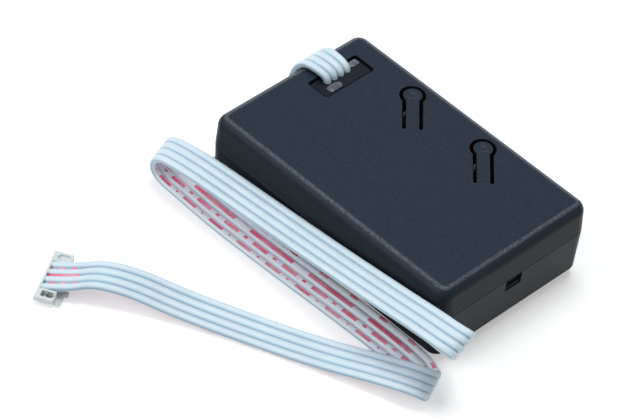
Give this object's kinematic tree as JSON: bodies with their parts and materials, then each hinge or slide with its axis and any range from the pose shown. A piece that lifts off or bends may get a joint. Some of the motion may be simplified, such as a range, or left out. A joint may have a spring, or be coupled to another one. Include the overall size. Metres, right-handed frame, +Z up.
{
  "type": "garage door controller",
  "caption": "Small snap-together black case with two push-button tongues, a cable window and a long flat cable ending in a plug",
  "frame": {"origin": "on the table, under the middle of the case", "axes": "+X along the case, away from the cable window's end; +Y across it, towards the buttons; +Z up"},
  "size_m": [0.1048, 0.1088, 0.0261],
  "materials": {
    "case_plastic": "fine-grained dark grey moulded plastic",
    "foot_rubber": "dull black rubber",
    "board_laminate": "green solder mask",
    "screw_steel": "zinc-plated steel",
    "component_black": "black moulded component body",
    "plunger_plastic": "pale switch plunger",
    "can_metal": "tinned or aluminium can",
    "contact_brass": "gold-flashed pins",
    "clear_adhesive": "clear hot-melt adhesive",
    "cable_jacket": "pale soft PVC jacket with pink print",
    "connector_plastic": "natural nylon",
    "contact_metal": "tin-plated contact"
  },
  "bodies": {
    "case": {"base_shell": "case_plastic", "lid": "case_plastic", "rubber_feet": "foot_rubber", "circuit_board": "board_laminate", "board_screws": "screw_steel", "tact_switch_a": "component_black", "tact_switch_b": "component_black", "radio_board": "board_laminate", "radio_shield_can": "can_metal", "microcontroller": "component_black", "optocouplers": "component_black", "voltage_regulator": "component_black", "power_inductor": "component_black", "electrolytic_capacitor": "can_metal", "crystal": "can_metal", "chip_parts": "component_black", "board_header": "component_black", "header_pins": "contact_brass", "ribbon_plug": "component_black", "glue_bead": "clear_adhesive", "ribbon_cable": "cable_jacket", "connector_housing": "connector_plastic", "connector_contacts": "contact_metal"},
    "button_a": {"button_tongue_a": "case_plastic"},
    "button_b": {"button_tongue_b": "case_plastic"},
    "plunger_a": {"switch_plunger_a": "plunger_plastic"},
    "plunger_b": {"switch_plunger_b": "plunger_plastic"}
  },
  "joints": [
    {"name": "press_a", "type": "hinge", "parent": "case", "child": "button_a", "pos_m": [-0.00571, 0.00966, 0.0219], "axis": [-0.7071, -0.7071, 0], "range_deg": [0, 1.4], "stiffness_Nm_per_rad": 0.6},
    {"name": "press_b", "type": "hinge", "parent": "case", "child": "button_b", "pos_m": [0.01839, 0.00966, 0.0219], "axis": [-0.7071, -0.7071, 0], "range_deg": [0, 1.4], "stiffness_Nm_per_rad": 0.6},
    {"name": "plunge_a", "type": "slide", "parent": "case", "child": "plunger_a", "axis": [0, 0, -1], "range_m": [0, 0.0003]},
    {"name": "plunge_b", "type": "slide", "parent": "case", "child": "plunger_b", "axis": [0, 0, -1], "range_m": [0, 0.0003]}
  ],
  "couplings": [
    {"joint": "plunge_a", "follows": "press_a", "m_per_rad": 0.0116},
    {"joint": "plunge_b", "follows": "press_b", "m_per_rad": 0.0116}
  ]
}
